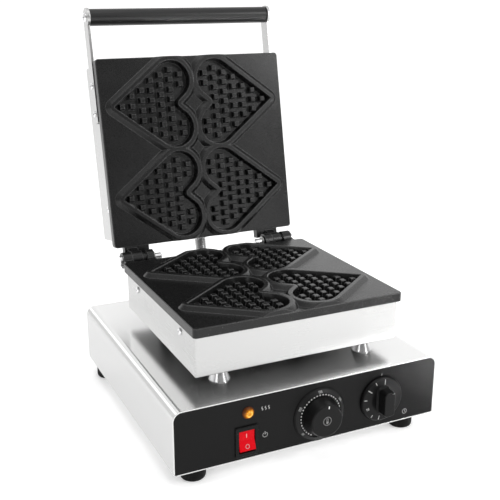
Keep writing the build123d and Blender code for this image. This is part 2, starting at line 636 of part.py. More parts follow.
# thermostat bulb under the plate, its capillary down the front right tube
bulb = rod_x(-30, 50, 90.0, ELEMENT_Z, 3.0)
cap_path = [
    (49.5, 90.0, ELEMENT_Z), (66.0, 86.0, ELEMENT_Z - 3), (84.0, 60.0, 114.0), (CONE_XS[1], CONE_Y[0], 98.0),
    (CONE_XS[1], CONE_Y[0], 76.0), (CONE_XS[1] - 2, CONE_Y[0] + 2, 54.5), (60.0, 62.0, 40.0), (22.0, 48.0, 34.0),
    (12.0, 34.0, 30.0),
]
capillary = wire_tube(cap_path, 0.9)
nodes["thermostat_capillary"] = one(bulb + capillary)

# the lower element's two leads, down the rear left tube to the terminal block
leads = []
for i, s in enumerate((-1, 1)):
    tx = CONE_XS[0] + s * 1.0
    leads.append(
        wire_tube(
            [
                (14.0 * s, 238.3, ELEMENT_Z - 2.4), (14.0 * s - 6, 236.5, 116.0), (-45.0 + 3 * s, 231.0, 112.0 + s),
                (tx, CONE_Y[1] + 1.5, 103.0), (tx, CONE_Y[1], 92.0), (tx, CONE_Y[1], 60.0),
                (tx + 1, CONE_Y[1] + 2, 50.0), (-65.0 + 8 * i, 228.0, 24.0), (-60.4 + 10.2 * i, 220.5, 12.0),
            ],
            0.8,
        )
    )
nodes["lower_heater_leads"] = group(leads)

# wiring in the cabinet, from the terminal block forward to the controls
runs = [
    [(-60.4, 192.5, 12.0), (-66.0, 150.0, 14.2), (-72.0, 90.0, 15.0), (ROCKER_X, 50.0, ROCKER_Z - 7.6), (ROCKER_X, 37.0, ROCKER_Z - 8.0)],
    [(-50.2, 192.5, 12.0), (-56.0, 150.0, 14.0), (-64.0, 90.0, 17.0), (-74.0, 56.0, ROCKER_Z - 1.0), (ROCKER_X, 37.0, ROCKER_Z)],
    [(-40.0, 192.5, 12.0), (-42.0, 150.0, 14.0), (-34.0, 90.0, 20.0), (-12.0, 62.0, 34.0), (-2.5, 43.0, 40.0)],
    [(-29.8, 192.5, 12.0), (-20.0, 150.0, 12.0), (22.0, 110.0, 16.0), (58.0, 84.0, 26.0), (TIMER_X - 12.0, 50.0, TIMER_Z + 10.0)],
    [(ROCKER_X, 37.0, ROCKER_Z + 8.0), (-79.0, 44.0, 37.0), (-79.5, 40.0, 46.8), (LAMP_X - 2.5, 32.0, LAMP_Z)],
]
nodes["cabinet_wiring"] = group([wire_tube(p, 1.1) for p in runs])

# ------------------------------------------------------------------------ lid
mirror_plane = Plane(origin=(0, 0, PARTING_Z), z_dir=(0, 0, 1))


def mirrored_z(z):
    return 2 * PARTING_Z - z


upper = one(plate_blank.mirror(mirror_plane))
UP_FLAT, UP_BACK = mirrored_z(FLAT_Z), mirrored_z(PLATE_Z0)
for (kx0, kx1), (wx0, wx1) in zip(LID_KNUCKLES, LID_WEBS):
    web = make_face(
        Polyline(
            (0, PLATE_Y1 - 3.0, UP_FLAT + 0.5),
            (0, PLATE_Y1 - 3.0, UP_BACK),
            (0, PLATE_Y1 + 4.5, UP_BACK),
            (0, HINGE_Y + KNUCKLE_R * math.cos(math.radians(40)), HINGE_Z + KNUCKLE_R * math.sin(math.radians(40))),
            (0, HINGE_Y, HINGE_Z),
            (0, HINGE_Y - KNUCKLE_R, HINGE_Z),
            (0, HINGE_Y - KNUCKLE_R, HINGE_Z + 6.0),
            (0, PLATE_Y1 + 1.5, UP_FLAT + 0.5),
            close=True,
        )
    )
    lug = Pos(kx0, 0, 0) * extrude(web, kx1 - kx0, dir=(1, 0, 0))
    lug += rod_x(kx0, kx1, HINGE_Y, HINGE_Z, KNUCKLE_R)
    lug += block(wx0, wx1, PLATE_Y1 - 3.0, HINGE_Y - 3.8, UP_FLAT + 0.5, UP_BACK - 0.01)
    lug -= rod_x(kx0 - 1, kx1 + 1, HINGE_Y, HINGE_Z, PIN_R + 0.06)
    upper = upper.fuse(lug.solids()[0])
nodes["lid_plate"] = opened(one(upper))

lid_cover = case_shell(UP_BACK + 0.05, LID_TOP_Z, False)
lid_screw_z = mirrored_z(SIDE_SCREW_Z)
for y in SIDE_SCREW_Y:
    lid_cover -= rod_x(-HW - 3, HW + 3, y, lid_screw_z, 2.1)
for y in ARM_SCREW_Y:
    lid_cover -= rod_x(-HW - 3, HW + 3, y, ARM_Z, 2.1)
lid_cover -= rod_y(CASE_Y1 - 4, CASE_Y1 + 4, 0, HOSE_LID_Z, 9.1)
nodes["lid_cover"] = opened(one(lid_cover))
# front pair hidden under the arms is countersunk; only the rear pair shows
rear_y = SIDE_SCREW_Y[1]
front_y = SIDE_SCREW_Y[0]
lid_screws = [
    Pos(-HW, rear_y, lid_screw_z) * TO_LEFT * screw(1.95, 8.0, 3.9, 2.2),
    Pos(HW, rear_y, lid_screw_z) * TO_RIGHT * screw(1.95, 8.0, 3.9, 2.2),
]
for s in (-1, 1):
    lid_screws.append(rod_x(s * (HW - 8.0), s * (HW - 0.1), front_y, lid_screw_z, 1.95))
nodes["lid_cover_screws"] = opened(group(lid_screws))

nodes["lid_heater"] = opened(one(element(ELEMENT_Z).mirror(mirror_plane)))
nodes["lid_heater_clamp"] = opened(one(clamp_plate(element_low - 1.3, element_low - 0.05).mirror(mirror_plane)))
nodes["lid_clamp_screws"] = opened(
    group([Pos(x, 128.0, mirrored_z(element_low - 1.3)) * screw(2.45, 6.5, 4.6, 2.8) for x in (-45.0, 45.0)])
)
pad = block(-111, 111, 33, 222, 176.0, LID_TOP_Z - CASE_T - 0.05)
for s in (-1, 1):
    for y in ARM_SCREW_Y:
        pad -= rod_x(s * 100, s * 120, y, ARM_Z, 7.5)
nodes["lid_insulation"] = opened(one(pad))

# ----------------------------------------------------------- lid handle
def arm(side):
    x0 = side * (HW + 0.02)
    a, b = sorted((x0, x0 + side * ARM_T))
    bar = block(a, b, GRIP_Y, ARM_END_Y, ARM_Z - ARM_W / 2, ARM_Z + ARM_W / 2)
    ends = [e for e in bar.edges().filter_by(Axis.X) if e.center().Y > ARM_END_Y - 1]
    bar = fillet(ends, 4.0)
    bar += rod_x(a, b, GRIP_Y, GRIP_Z, ARM_DISC_R)
    corner = block(a - 1, b + 1, GRIP_Y - 20, GRIP_Y, GRIP_Z - 20, GRIP_Z + 20)
    bar -= corner - rod_x(a - 2, b + 2, GRIP_Y, GRIP_Z, ARM_DISC_R)
    for y in ARM_SCREW_Y:
        bar -= rod_x(a - 1, b + 1, y, ARM_Z, 2.1)
    bar -= rod_x(a - 1, b + 1, GRIP_Y, GRIP_Z, 2.6)
    return one(bar)


nodes["arm_left"] = opened(arm(-1))
nodes["arm_right"] = opened(arm(1))
arm_screws, arm_nuts, handle_screws = [], [], []
for s, turn in ((-1, TO_LEFT), (1, TO_RIGHT)):
    face = s * (HW + 0.02 + ARM_T)
    for y in ARM_SCREW_Y:
        arm_screws.append(Pos(face, y, ARM_Z) * turn * screw(1.95, 9.0, 4.0, 2.4))
        nut = hex_prism(7.0, -3.2, 0) - Pos(0, 0, 0) * Cylinder(1.98, 20)
        arm_nuts.append(Pos(s * (HW - CASE_T - 0.02), y, ARM_Z) * turn * nut)
    handle_screws.append(Pos(face, GRIP_Y, GRIP_Z) * turn * screw(2.45, 14.0, 5.6, 3.0))
nodes["arm_screws"] = opened(group(arm_screws))
nodes["arm_nuts"] = opened(group(arm_nuts))
nodes["handle_screws"] = opened(group(handle_screws))
grip = rod_x(-HW + 0.1, HW - 0.1, GRIP_Y, GRIP_Z, GRIP_R)
grip = fillet(grip.edges().filter_by(GeomType.CIRCLE), 1.2)
grip -= rod_x(-HW - 1, HW + 1, GRIP_Y, GRIP_Z, 5.05)
nodes["handle_grip"] = opened(one(grip))
hrod = rod_x(-HW + 0.02, HW - 0.02, GRIP_Y, GRIP_Z, 5.0)
for s in (-1, 1):
    hrod -= rod_x(s * (HW - 16), s * (HW + 1), GRIP_Y, GRIP_Z, 2.48)
nodes["handle_rod"] = opened(one(hrod))

# --------------------------------------------- hose that carries the lid's leads
base_gland = turned_z(
    [
        (7.5, BASE_H + 0.02), (11.5, BASE_H + 0.02), (11.5, BASE_H + 2.2), (10.9, BASE_H + 3.0),
        (9.8, BASE_H + 3.4), (9.6, BASE_H + 7.6), (9.0, BASE_H + 8.4), (7.5, BASE_H + 8.4),
    ],
    0, HOSE_BASE_Y,
)
base_gland += rod_z(BASE_H - 6, BASE_H + 0.5, 0, HOSE_BASE_Y, 9.0) - rod_z(BASE_H - 8, BASE_H + 2, 0, HOSE_BASE_Y, 7.5)
nodes["base_hose_gland"] = one(base_gland)

lid_gland = turned_y(
    [
        (7.9, CASE_Y1 - 5.0), (9.0, CASE_Y1 - 5.0), (9.0, CASE_Y1 + 0.02), (12.0, CASE_Y1 + 0.02),
        (12.0, CASE_Y1 + 3.6), (11.2, CASE_Y1 + 4.4), (9.9, CASE_Y1 + 4.8), (9.7, CASE_Y1 + 9.5),
        (9.0, CASE_Y1 + 10.2), (7.9, CASE_Y1 + 10.2),
    ],
    0, HOSE_LID_Z,
)
nodes["lid_hose_gland"] = opened(one(lid_gland))


def opened_point(y, z):
    t = math.radians(OPEN_ANGLE)
    dy, dz = y - HINGE_Y, z - HINGE_Z
    return (HINGE_Y + dy * math.cos(t) + dz * math.sin(t), HINGE_Z - dy * math.sin(t) + dz * math.cos(t))


# The hose leaves the cabinet upright, sways back on two large tangent arcs and
# enters the lid square to its lower edge face.
ey, ez = opened_point(CASE_Y1 - 2.0, HOSE_LID_Z)
beta = math.radians(OPEN_ANGLE - 90.0)
HOSE_END_RUN = 14.0
rise_y = ey - HOSE_END_RUN * math.sin(beta) - HOSE_BASE_Y
rise_z = ez - HOSE_END_RUN * math.cos(beta) - (BASE_H + 12.0)


def sway(alpha):
    return (1 + math.cos(beta) - 2 * math.cos(alpha)) / (2 * math.sin(alpha) - math.sin(beta)) - rise_y / rise_z


lo, hi = beta, math.radians(70)
for _ in range(60):
    mid = (lo + hi) / 2
    lo, hi = (mid, hi) if sway(mid) < 0 else (lo, mid)
alpha = (lo + hi) / 2
bend_r = rise_z / (2 * math.sin(alpha) - math.sin(beta))


def first_arc(f):
    return Vector(0, HOSE_BASE_Y + bend_r * (1 - math.cos(f)), BASE_H + 12.0 + bend_r * math.sin(f))


def second_arc(f):
    top = first_arc(alpha)
    return Vector(0, top.Y + bend_r * (math.cos(f) - math.cos(alpha)), top.Z + bend_r * (math.sin(alpha) - math.sin(f)))


hose_path = Wire(
    [
        Edge.make_line(Vector(0, HOSE_BASE_Y, BASE_H - 18.0), first_arc(0)),
        Edge.make_three_point_arc(first_arc(0), first_arc(alpha / 2), first_arc(alpha)),
        Edge.make_three_point_arc(second_arc(alpha), second_arc((alpha + beta) / 2), second_arc(beta)),
        Edge.make_line(second_arc(beta), Vector(0, ey, ez)),
    ]
)
sec = Plane(origin=(0, HOSE_BASE_Y, BASE_H - 18.0), z_dir=(0, 0, 1))
hose = sweep(sec * (Circle(HOSE_R) - Circle(HOSE_BORE_R)), path=hose_path)
nodes["conduit_hose"] = one(hose)

# --------------------------------------------------------------------- export
for name, shape in nodes.items():
    placed = shape.moved(Location((0, -ORIGIN_Y, FOOT_H)))
    export_step(placed, f"parts/{name}.step")
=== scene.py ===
import json
import math

import bmesh
import bpy
from mathutils import Matrix, Vector


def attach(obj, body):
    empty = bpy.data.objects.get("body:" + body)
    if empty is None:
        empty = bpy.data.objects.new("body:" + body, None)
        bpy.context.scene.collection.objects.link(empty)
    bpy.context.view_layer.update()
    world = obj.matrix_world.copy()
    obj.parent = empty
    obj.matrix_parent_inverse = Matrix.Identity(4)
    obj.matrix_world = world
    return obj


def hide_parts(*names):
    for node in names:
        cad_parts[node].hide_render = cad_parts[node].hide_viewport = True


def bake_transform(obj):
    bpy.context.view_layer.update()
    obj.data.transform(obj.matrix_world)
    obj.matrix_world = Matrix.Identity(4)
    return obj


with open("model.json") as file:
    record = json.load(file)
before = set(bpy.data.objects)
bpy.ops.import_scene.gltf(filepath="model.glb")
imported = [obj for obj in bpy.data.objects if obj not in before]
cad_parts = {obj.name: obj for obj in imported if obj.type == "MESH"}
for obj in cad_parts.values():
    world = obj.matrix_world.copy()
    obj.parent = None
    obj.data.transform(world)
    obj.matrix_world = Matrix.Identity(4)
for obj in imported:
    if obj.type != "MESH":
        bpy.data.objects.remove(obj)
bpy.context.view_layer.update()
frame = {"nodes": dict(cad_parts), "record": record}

NODES = frame["nodes"]

# ------------------------------------------------------------------ the frame
# The drawing frame is in mm: x from the middle, y back from the panel's face,
# z up from the cabinet's underside. P() turns it into the model's metres.
SHIFT_Y, FOOT_H = 178.6, 18.5
HINGE = (0.0, 262.34, 135.33)
OPEN_ANGLE = math.radians(101.56)


def P(x, y, z):
    return Vector((x / 1000.0, (y - SHIFT_Y) / 1000.0, (z + FOOT_H) / 1000.0))


def P_open(x, y, z):
    """A point drawn with the lid closed, where it is with the lid open."""
    c, s = math.cos(-OPEN_ANGLE), math.sin(-OPEN_ANGLE)
    dy, dz = y - HINGE[1], z - HINGE[2]
    return P(x, HINGE[1] + c * dy - s * dz, HINGE[2] + s * dy + c * dz)


# --------------------------------------------------------------- node helpers
class Mat:
    """A principled material with short ways to add procedural nodes."""

    def __init__(self, name, **sockets):
        self.m = bpy.data.materials.new(name)
        self.m.use_nodes = True
        self.t = self.m.node_tree
        self.t.nodes.clear()
        self.out = self.n("ShaderNodeOutputMaterial")
        self.b = self.n("ShaderNodeBsdfPrincipled")
        self.t.links.new(self.b.outputs["BSDF"], self.out.inputs["Surface"])
        for k, v in sockets.items():
            self.b.inputs[k.replace("_", " ")].default_value = v
        self._obj = None

    def n(self, kind, **props):
        node = self.t.nodes.new(kind)
        for k, v in props.items():
            setattr(node, k, v)
        return node

    def link(self, a, b):
        self.t.links.new(a, b)

    def obj(self):
        if self._obj is None:
            self._obj = self.n("ShaderNodeTexCoord").outputs["Object"]
        return self._obj

    def mapped(self, scale=(1, 1, 1), rot=(0, 0, 0), loc=(0, 0, 0)):
        m = self.n("ShaderNodeMapping")
        m.inputs["Scale"].default_value = scale
        m.inputs["Rotation"].default_value = rot
        m.inputs["Location"].default_value = loc
        self.link(self.obj(), m.inputs["Vector"])
        return m.outputs["Vector"]

    def noise(self, scale, detail=3.0, rough=0.55, vec=None, distort=0.0):
        n = self.n("ShaderNodeTexNoise")
        n.inputs["Scale"].default_value = scale
        n.inputs["Detail"].default_value = detail
        n.inputs["Roughness"].default_value = rough
        n.inputs["Distortion"].default_value = distort
        self.link(vec if vec is not None else self.obj(), n.inputs["Vector"])
        return n.outputs["Fac"]

    def voronoi(self, scale, vec=None, feature="F1"):
        n = self.n("ShaderNodeTexVoronoi", feature=feature)
        n.inputs["Scale"].default_value = scale
        self.link(vec if vec is not None else self.obj(), n.inputs["Vector"])
        return n.outputs["Distance"]

    def ramp(self, fac, *stops, mode="LINEAR"):
        r = self.n("ShaderNodeValToRGB")
        r.color_ramp.interpolation = mode
        e = r.color_ramp.elements
        while len(e) < len(stops):
            e.new(0.5)
        for i, (p, c) in enumerate(stops):
            e[i].position = p
            e[i].color = (c, c, c, 1.0) if isinstance(c, (int, float)) else (*c, 1.0)
        self.link(fac, r.inputs["Fac"])
        return r.outputs["Color"]

    def span(self, fac, lo, hi, a=0.0, b=1.0):
        r = self.n("ShaderNodeMapRange")
        r.inputs["From Min"].default_value = a
        r.inputs["From Max"].default_value = b
        r.inputs["To Min"].default_value = lo
        r.inputs["To Max"].default_value = hi
        self.link(fac, r.inputs["Value"])
        return r.outputs["Result"]

    def math(self, op, a, b=None, clamp=False):
        n = self.n("ShaderNodeMath", operation=op, use_clamp=clamp)
        for i, v in enumerate((a, b)):
            if v is None:
                continue
            if isinstance(v, (int, float)):
                n.inputs[i].default_value = v
            else:
                self.link(v, n.inputs[i])
        return n.outputs[0]

    def mix(self, fac, a, b):
        n = self.n("ShaderNodeMix", data_type="RGBA")
        for s, v in ((n.inputs[0], fac), (n.inputs[6], a), (n.inputs[7], b)):
            if isinstance(v, (int, float)):
                s.default_value = v
            elif isinstance(v, (tuple, list)):
                s.default_value = (*v, 1.0) if len(v) == 3 else v
            else:
                self.link(v, s)
        return n.outputs[2]

    def bump(self, height, strength, distance, normal=None):
        n = self.n("ShaderNodeBump")
        n.inputs["Strength"].default_value = strength
        n.inputs["Distance"].default_value = distance
        self.link(height, n.inputs["Height"])
        if normal is not None:
            self.link(normal, n.inputs["Normal"])
        return n.outputs["Normal"]

    def soft_edge(self, radius):
        """Rounds hard edges a little in the shading."""
        n = self.n("ShaderNodeBevel", samples=6)
        n.inputs["Radius"].default_value = radius
        return n.outputs["Normal"]

    def set(self, socket, value):
        self.link(value, self.b.inputs[socket])
        return self


MATS = {}


def brushed(name, along, across, colour, rough, scale=1.0, tint=0.05, stretch=0.0, axis="Y", wear=0.03, relief=0.03, side_shade=1.0, underside_shade=1.0):
    """Sheet steel. The grain runs along the model's axes in along, so the
    pattern changes quickly only over the axes in across. The gloss is
    stretched across the grain, which turns about axis."""
    m = Mat(name, Metallic=1.0)
    fine, broad = [0.0] * 3, [0.0] * 3
    for ch in along:
        fine["xyz".index(ch)] = 30.0
        broad["xyz".index(ch)] = 5.0
    for ch in across:
        fine["xyz".index(ch)] = 4200.0 * scale
        broad["xyz".index(ch)] = 900.0 * scale
    g1 = m.noise(1.0, 2.0, 0.6, m.mapped(fine))
    g2 = m.noise(1.0, 2.0, 0.5, m.mapped(broad))
    cloud = m.noise(9.0, 2.0, 0.5)
    lines = m.mix(0.35, g1, g2)
    c0 = tuple(v * (1 - tint) for v in colour)
    c1 = tuple(min(1.0, v * (1 + tint)) for v in colour)
    sheet = m.mix(m.mix(0.3, lines, cloud), c0, c1)
    if side_shade != 1.0:
        # painted shade: the folded-down sides that face left and right are drawn darker than the top, for the shade on
        # them
        face = m.n("ShaderNodeSeparateXYZ")
        m.link(m.n("ShaderNodeNewGeometry").outputs["Normal"], face.inputs[0])
        painted_side_shade = m.mix(m.mix(0.3, lines, cloud), tuple(v * side_shade for v in c0), tuple(v * side_shade for v in c1))
        sheet = m.mix(m.math("ABSOLUTE", face.outputs["X"]), sheet, painted_side_shade)
    if underside_shade != 1.0:
        # painted shade: faces turned downwards are drawn dark, for the shade under the casing
        under = m.n("ShaderNodeSeparateXYZ")
        m.link(m.n("ShaderNodeNewGeometry").outputs["Normal"], under.inputs[0])
        dark = m.mix(cloud, tuple(v * underside_shade * 0.8 for v in c0), tuple(v * underside_shade * 1.2 for v in c1))
        sheet = m.mix(m.span(under.outputs["Z"], 0.0, 1.0, -0.6, -0.9), sheet, dark)
    m.set("Base Color", sheet)
    wipe = m.span(m.noise(30.0, 4.0, 0.65), -0.6 * wear, wear, 0.35, 0.7)
    r = m.math("ADD", m.span(lines, rough[0], rough[1], 0.3, 0.7), wipe, clamp=True)
    m.set("Roughness", r)
    if stretch:
        m.b.inputs["Anisotropic"].default_value = stretch
        m.b.inputs["Anisotropic Rotation"].default_value = 0.25
        m.link(m.n("ShaderNodeTangent", direction_type="RADIAL", axis=axis).outputs[0], m.b.inputs["Tangent"])
    m.set("Normal", m.bump(lines, relief, 0.00003, m.soft_edge(0.0006)))
    return m


# the cabinet's left and right sides take painted shade
MATS["brushed_stainless"] = brushed("steel_cabinet", "xz", "y", (0.73, 0.73, 0.727), (0.17, 0.19), tint=0.015, stretch=0.90, axis="Y", wear=0.006, relief=0.003, side_shade=0.86)
MATS["brushed_stainless"].b.inputs["Metallic"].default_value = 0.88
MATS["brushed_stainless"].b.inputs["Specular IOR Level"].default_value = 0.3
# the casing's steel is a darker copy of the cabinet's brushed stainless: its lower base colour is painted shade; its
# grain runs round the upright walls, and its downward faces get painted shade too
MATS["steel_casing_shaded"] = brushed("steel_casing_shaded", "xy", "z", (0.535, 0.535, 0.532), (0.27, 0.29), tint=0.015, stretch=0.55, axis="Z", wear=0.008, relief=0.012, underside_shade=0.10)
MATS["zinc_steel"] = brushed("zinc_steel", "x", "yz", (0.42, 0.42, 0.41), (0.26, 0.42), 0.4)
MATS["element_steel"] = brushed("element_steel", "x", "yz", (0.24, 0.22, 0.20), (0.4, 0.6), 0.3, 0.25)
MATS["hose_metal"] = brushed("hose_metal", "z", "xy", (0.46, 0.46, 0.46), (0.24, 0.36), 0.5)


def chrome():
    m = Mat("polished_chrome", Metallic=1.0)
    cloud = m.noise(60.0, 3.0, 0.6)
    m.set("Base Color", m.mix(cloud, (0.74, 0.74, 0.745), (0.82, 0.82, 0.825)))
    m.set("Roughness", m.span(m.noise(220.0, 4.0, 0.65), 0.22, 0.28, 0.3, 0.7))
    m.set("Normal", m.bump(m.noise(500.0, 2.0), 0.03, 0.00004, m.soft_edge(0.0004)))
    return m


MATS["polished_chrome"] = chrome()


def moulded(name, dark, light, rough, grain=900.0, bump=0.12, spec=0.4, depth=0.00005, wipe=0.06, edge=0.0, edge_highlight=0.0):
    """Moulded plastic or paint: fine texture, slow colour drift, handling marks."""
    m = Mat(name, Specular_IOR_Level=spec)
    drift = m.noise(14.0, 3.0, 0.6)
    fleck = m.noise(grain, 3.0, 0.6)
    paint = m.mix(m.mix(0.4, drift, fleck), dark, light)
    if edge_highlight:
        # painted highlight: lighter along the casting's edges, for the light that the rounded edges catch
        flat = m.n("ShaderNodeVectorMath", operation="DOT_PRODUCT")
        m.link(m.soft_edge(0.0008), flat.inputs[0])
        m.link(m.n("ShaderNodeNewGeometry").outputs["Normal"], flat.inputs[1])
        edge_highlight_mask = m.span(flat.outputs["Value"], 0.0, 1.0, 0.99, 0.93)
        edge_highlight_mask = m.math("MULTIPLY", edge_highlight_mask, m.span(m.noise(30.0, 3.0, 0.6), 0.5, 1.0, 0.35, 0.6))
        paint = m.mix(edge_highlight_mask, paint, (edge_highlight, edge_highlight, edge_highlight))
    m.set("Base Color", paint)
    marks = m.span(m.noise(45.0, 5.0, 0.7, distort=0.4), 0.0, wipe, 0.45, 0.7)
    m.set("Roughness", m.math("ADD", m.span(fleck, rough[0], rough[1], 0.3, 0.7), marks, clamp=True))
    m.set("Normal", m.bump(fleck, bump, depth, m.soft_edge(edge) if edge else None))
    return m


MATS["black_panel"] = moulded("black_panel", (0.0040, 0.0040, 0.0041), (0.0060, 0.0060, 0.0061), (0.34, 0.42), 1100.0, 0.05, 0.13, edge=0.0004)
# the plates get painted highlights along their edges
MATS["nonstick_plate"] = moulded("nonstick_plate", (0.0040, 0.0040, 0.0040), (0.0075, 0.0075, 0.0076), (0.22, 0.31), 1400.0, 0.14, 0.36, 0.00006, 0.04, edge=0.0007, edge_highlight=0.15)
MATS["black_grip"] = moulded("black_grip", (0.0060, 0.0060, 0.0062), (0.0100, 0.0100, 0.0102), (0.26, 0.36), 1000.0, 0.10, 0.40, edge=0.0006)
MATS["black_plastic"] = moulded("black_plastic", (0.0020, 0.0020, 0.0021), (0.0040, 0.0040, 0.0041), (0.20, 0.30), 900.0, 0.06, 0.16, edge=0.0005)
MATS["black_knob"] = moulded("black_knob", (0.0028, 0.0028, 0.0029), (0.0050, 0.0050, 0.0051), (0.28, 0.38), 1000.0, 0.10, 0.16, edge=0.0005)
MATS["black_rubber"] = moulded("black_rubber", (0.0035, 0.0035, 0.0035), (0.0080, 0.0080, 0.0080), (0.45, 0.60), 700.0, 0.30, 0.10, 0.0001, edge=0.0008)
MATS["red_rocker"] = moulded("red_rocker", (0.46, 0.002, 0.006), (0.60, 0.004, 0.010), (0.22, 0.30), 600.0, 0.03, 0.07, edge=0.0006)
MATS["red_rocker"].b.inputs["Emission Color"].default_value = (0.30, 0.0, 0.004, 1.0)
MATS["red_rocker"].b.inputs["Emission Strength"].default_value = 0.30
MATS["mark_white"] = moulded("mark_white", (0.46, 0.46, 0.46), (0.60, 0.60, 0.59), (0.45, 0.55), 900.0, 0.05, 0.3)
MATS["mark_bright"] = moulded("mark_bright", (0.74, 0.74, 0.74), (0.84, 0.84, 0.83), (0.45, 0.55), 900.0, 0.05, 0.3)
MATS["mark_grey"] = moulded("mark_grey", (0.20, 0.20, 0.20), (0.28, 0.28, 0.275), (0.45, 0.55), 900.0, 0.05, 0.3)
MATS["mark_pink"] = moulded("mark_pink", (0.62, 0.30, 0.30), (0.74, 0.40, 0.40), (0.40, 0.50), 900.0, 0.05, 0.3)
MATS["pale_plastic"] = moulded("pale_plastic", (0.60, 0.58, 0.52), (0.70, 0.68, 0.62), (0.40, 0.50), 700.0, 0.10, 0.5)
MATS["wire_silicone"] = moulded("wire_silicone", (0.58, 0.56, 0.50), (0.70, 0.68, 0.62), (0.45, 0.55), 900.0, 0.10, 0.5)
MATS["mineral_mat"] = moulded("mineral_mat", (0.62, 0.60, 0.52), (0.84, 0.82, 0.76), (0.85, 0.95), 350.0, 0.8, 0.2, 0.0004)


def copper():
    m = Mat("copper_like", Metallic=1.0)
    m.set("Base Color", m.mix(m.noise(120.0, 4.0, 0.6), (0.62, 0.34, 0.20), (0.80, 0.50, 0.34)))
    m.set("Roughness", m.span(m.noise(400.0, 3.0), 0.24, 0.42, 0.3, 0.7))
    m.set("Normal", m.bump(m.noise(700.0, 2.0), 0.05, 0.00005))
    return m


MATS["copper_like"] = copper()


LAMP = (-73.5, 50.4)


def amber():
    m = Mat("amber_lens", IOR=1.49, Specular_IOR_Level=0.16)
    n = m.noise(260.0, 2.0, 0.5)
    # the lens glows round its middle and goes dark orange towards its edge
    off = m.n("ShaderNodeVectorMath", operation="SUBTRACT")
    m.link(m.obj(), off.inputs[0])
    off.inputs[1].default_value = tuple(P(LAMP[0] + 0.5, 0, LAMP[1] - 0.6))
    flat = m.n("ShaderNodeVectorMath", operation="MULTIPLY")
    m.link(off.outputs[0], flat.inputs[0])
    flat.inputs[1].default_value = (1, 0, 1)
    d = m.n("ShaderNodeVectorMath", operation="LENGTH")
    m.link(flat.outputs[0], d.inputs[0])
    far = m.math("ADD", m.span(d.outputs["Value"], 0.0, 1.0, 0.0, 0.0068), m.span(n, -0.06, 0.06, 0.3, 0.7))
    glow = m.ramp(
        far, (0.0, (0.72, 0.24, 0.006)), (0.18, (0.92, 0.42, 0.025)), (0.36, (1.0, 0.64, 0.14)),
        (0.54, (0.90, 0.38, 0.015)), (0.68, (0.30, 0.075, 0.001)), (0.84, (0.03, 0.006, 0.0003)),
    )
    # each facet faces another way and passes more or less of the glow
    face = m.n("ShaderNodeSeparateXYZ")
    m.link(m.n("ShaderNodeNewGeometry").outputs["True Normal"], face.inputs[0])
    turn = m.math("ADD", m.math("MULTIPLY", face.outputs["X"], 2.7), m.math("MULTIPLY", face.outputs["Z"], 4.1))
    spark = m.span(m.math("PINGPONG", turn, 0.5), 0.42, 1.12, 0.0, 0.5)
    m.set("Base Color", m.mix(far, (0.40, 0.14, 0.005), (0.03, 0.008, 0.001)))
    m.set("Emission Color", m.mix(spark, (0.02, 0.003, 0.0), glow))
    m.b.inputs["Emission Strength"].default_value = 1.15
    m.set("Roughness", m.span(n, 0.10, 0.16, 0.3, 0.7))
    m.set("Normal", m.bump(m.voronoi(700.0), 0.2, 0.0002))
    return m


MATS["amber_lens"] = amber()


def dial_finish():
    """The scale ring: satin on its slope; its thin outer flange is drawn darker, a painted shade for the shadowed gap
    round the ring.
    """
    m = Mat("dial_black", Specular_IOR_Level=0.22)
    off = m.n("ShaderNodeVectorMath", operation="SUBTRACT")
    m.link(m.obj(), off.inputs[0])
    off.inputs[1].default_value = tuple(P(7.5, 0, 30.0))
    flat = m.n("ShaderNodeVectorMath", operation="MULTIPLY")
    m.link(off.outputs[0], flat.inputs[0])
    flat.inputs[1].default_value = (1, 0, 1)
    d = m.n("ShaderNodeVectorMath", operation="LENGTH")
    m.link(flat.outputs[0], d.inputs[0])
    fleck = m.noise(1000.0, 3.0, 0.6)
    flange_shade_mask = m.span(d.outputs["Value"], 0.0, 1.0, 0.0281, 0.0286)
    face = m.mix(fleck, (0.0045, 0.0045, 0.0046), (0.0080, 0.0080, 0.0081))
    m.set("Base Color", m.mix(flange_shade_mask, face, (0.0010, 0.0010, 0.0010)))
    m.set("Roughness", m.math("ADD", m.span(fleck, 0.34, 0.44, 0.3, 0.7), m.span(flange_shade_mask, 0.0, 0.25)))
    m.set("Normal", m.bump(fleck, 0.12, 0.00006, m.soft_edge(0.0004)))
    return m


MATS["dial_black"] = dial_finish()

SLOT_OF = {s["node"]: s["material_slot"] for s in frame["record"]["subparts"]}
for node, ob in NODES.items():
    key = SLOT_OF[node]
    # the casing, the lid cover and the arms are the same stainless as the cabinet but take the darker, painted-shade
    # copy of it
    if node in ("lower_casing", "lid_cover", "arm_left", "arm_right"):
        key = "steel_casing_shaded"
    if node == "thermostat_dial":
        key = "dial_black"
    ob.data.materials.clear()
    ob.data.materials.append(MATS[key].m)


# ------------------------------------------------------------- printed marks
STROKES = {
    "0": [[(0.10, 0.2), (0.10, 0.8), (0.3, 1.0), (0.50, 0.8), (0.50, 0.2), (0.3, 0.0), (0.10, 0.2)]],
    "1": [[(0.12, 0.78), (0.34, 1.0), (0.34, 0.0)]],
    "2": [[(0.08, 0.8), (0.3, 1.0), (0.52, 0.8), (0.50, 0.6), (0.08, 0.0), (0.54, 0.0)]],
    "3": [[(0.08, 0.9), (0.3, 1.0), (0.5, 0.78), (0.3, 0.54), (0.52, 0.28), (0.3, 0.0), (0.08, 0.1)]],
    "5": [[(0.5, 1.0), (0.12, 1.0), (0.10, 0.56), (0.32, 0.6), (0.52, 0.34), (0.32, 0.0), (0.08, 0.1)]],
}


